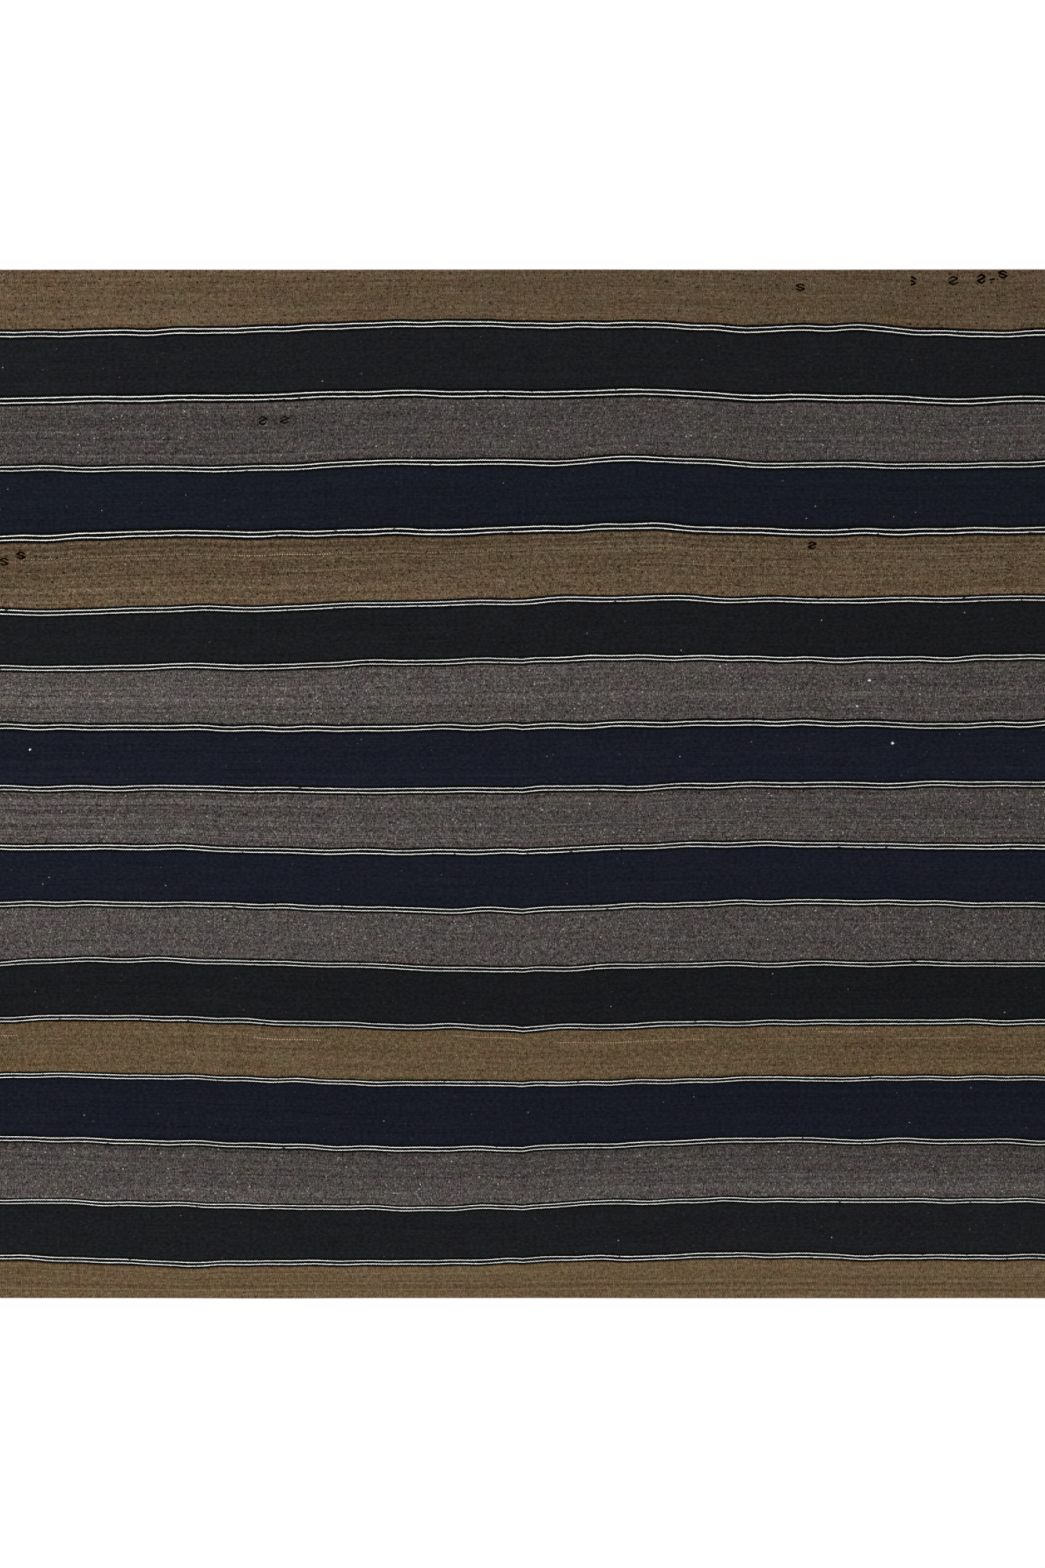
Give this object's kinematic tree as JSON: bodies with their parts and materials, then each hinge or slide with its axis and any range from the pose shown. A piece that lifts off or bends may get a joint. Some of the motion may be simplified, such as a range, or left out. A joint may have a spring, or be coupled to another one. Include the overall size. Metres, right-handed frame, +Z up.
{
  "type": "turkish kilim",
  "caption": "Flat rectangular wool kilim, weft-faced, with wide brown, black, grey and navy stripes parted by narrow white pinstripes.",
  "frame": {"origin": "centre of the flat underside, on the floor", "axes": "+X along the stripes, with the wefts, the longest side; +Y across the stripes, with the warps; +Z up, out of the face"},
  "size_m": [2.74, 1.83, 0.003],
  "materials": {
    "striped_wool": "matt weft-faced wool, striped in umber brown, black, taupe grey and navy with white pinstripes"
  },
  "bodies": {
    "root": {"kilim": "striped_wool"}
  },
  "joints": []
}
